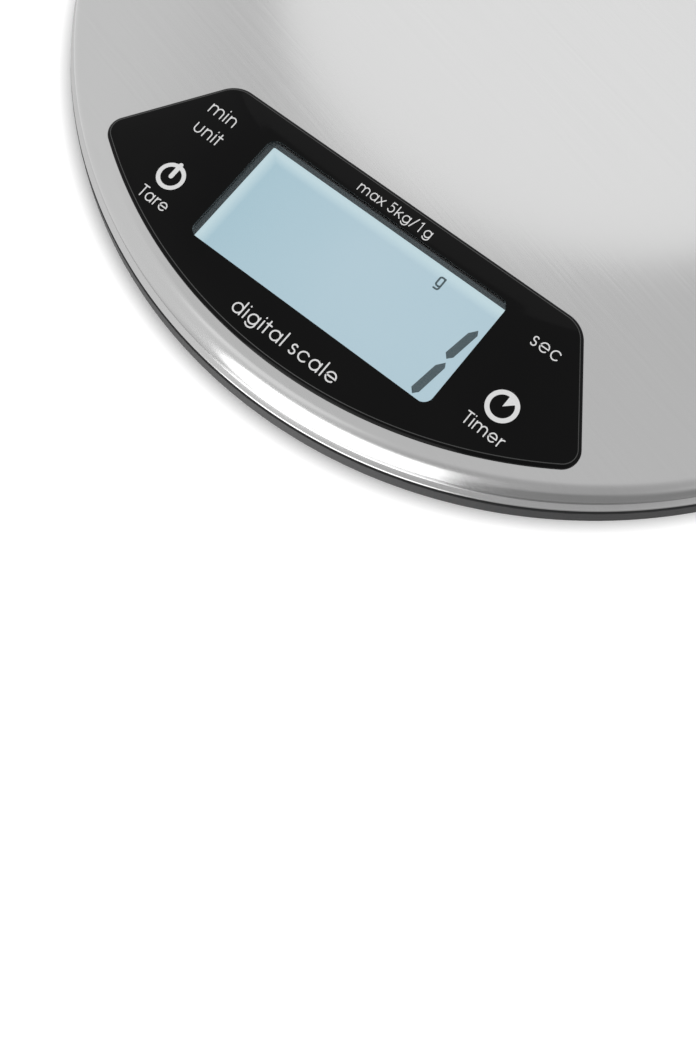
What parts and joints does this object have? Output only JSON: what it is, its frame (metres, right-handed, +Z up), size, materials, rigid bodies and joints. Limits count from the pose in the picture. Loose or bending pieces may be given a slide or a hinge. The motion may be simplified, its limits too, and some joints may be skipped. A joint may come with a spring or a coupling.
{
  "type": "kitchen scale",
  "caption": "Slim round digital kitchen scale: brushed steel disc platform, black touch panel with lit display at the front, shallow base on load-cell feet.",
  "frame": {"origin": "on the floor under the disc's centre", "axes": "+Z up, -Y towards the user and the display, +X to the user's right"},
  "size_m": [0.221, 0.221, 0.018],
  "materials": {
    "brushed_steel": "fine straight brushing, satin",
    "black_gloss": "polished black",
    "adhesive_black": "matt film",
    "clear_lens": "clear, polished",
    "frame_plastic": "fine matt grain",
    "display_glass": "lit, pale blue grey",
    "light_guide": "frosted white",
    "conductive_rubber": "matt, black",
    "board_laminate": "green solder mask",
    "chip_resin": "black resin",
    "plated_metal": "nickel plated",
    "screw_steel": "zinc plated",
    "base_plastic": "fine moulded texture",
    "foot_rubber": "matt, soft",
    "cell_aluminium": "stamped, plain",
    "lead_sheath": "flat grey lead"
  },
  "bodies": {
    "housing": {"steel_platform": "brushed_steel", "display_panel": "black_gloss", "panel_adhesive": "adhesive_black", "display_window": "clear_lens", "display_frame": "frame_plastic", "display_glass": "display_glass", "backlight": "light_guide", "display_contact_strip": "conductive_rubber", "circuit_board": "board_laminate", "controller_chip": "chip_resin", "clock_crystal": "plated_metal", "alarm_buzzer": "chip_resin", "touch_pad_back_left": "conductive_rubber", "touch_pad_front_left": "conductive_rubber", "touch_pad_back_right": "conductive_rubber", "touch_pad_front_right": "conductive_rubber", "board_screws": "screw_steel", "carrier_frame": "frame_plastic", "base_housing": "base_plastic", "housing_screws": "screw_steel", "coin_cell_left": "plated_metal", "coin_cell_right": "plated_metal", "battery_contact_negative": "plated_metal", "battery_contact_link": "plated_metal", "battery_contact_positive": "plated_metal", "load_cell_screws": "screw_steel", "battery_lead": "lead_sheath", "load_cell_front_left": "cell_aluminium", "sensor_lead_front_left": "lead_sheath", "load_cell_front_right": "cell_aluminium", "sensor_lead_front_right": "lead_sheath", "load_cell_rear_left": "cell_aluminium", "sensor_lead_rear_left": "lead_sheath", "load_cell_rear_right": "cell_aluminium", "sensor_lead_rear_right": "lead_sheath"},
    "foot_front_left": {"foot_pad_front_left": "foot_rubber", "foot_cup_front_left": "base_plastic"},
    "foot_front_right": {"foot_pad_front_right": "foot_rubber", "foot_cup_front_right": "base_plastic"},
    "foot_rear_left": {"foot_pad_rear_left": "foot_rubber", "foot_cup_rear_left": "base_plastic"},
    "foot_rear_right": {"foot_pad_rear_right": "foot_rubber", "foot_cup_rear_right": "base_plastic"},
    "battery_lid": {"battery_cover": "base_plastic"}
  },
  "joints": [
    {"name": "foot_press_front_left", "type": "slide", "parent": "housing", "child": "foot_front_left", "axis": [0, 0, 1], "range_m": [0, 0.0003], "stiffness_N_per_m": 49000, "deforming": ["load_cell_front_left"]},
    {"name": "foot_press_front_right", "type": "slide", "parent": "housing", "child": "foot_front_right", "axis": [0, 0, 1], "range_m": [0, 0.0003], "stiffness_N_per_m": 49000, "deforming": ["load_cell_front_right"]},
    {"name": "foot_press_rear_left", "type": "slide", "parent": "housing", "child": "foot_rear_left", "axis": [0, 0, 1], "range_m": [0, 0.0003], "stiffness_N_per_m": 49000, "deforming": ["load_cell_rear_left"]},
    {"name": "foot_press_rear_right", "type": "slide", "parent": "housing", "child": "foot_rear_right", "axis": [0, 0, 1], "range_m": [0, 0.0003], "stiffness_N_per_m": 49000, "deforming": ["load_cell_rear_right"]},
    {"name": "battery_cover_hinge", "type": "hinge", "parent": "housing", "child": "battery_lid", "pos_m": [0, 0.0091, 0.0038], "axis": [-1, 0, 0], "range_deg": [0, 75]}
  ]
}
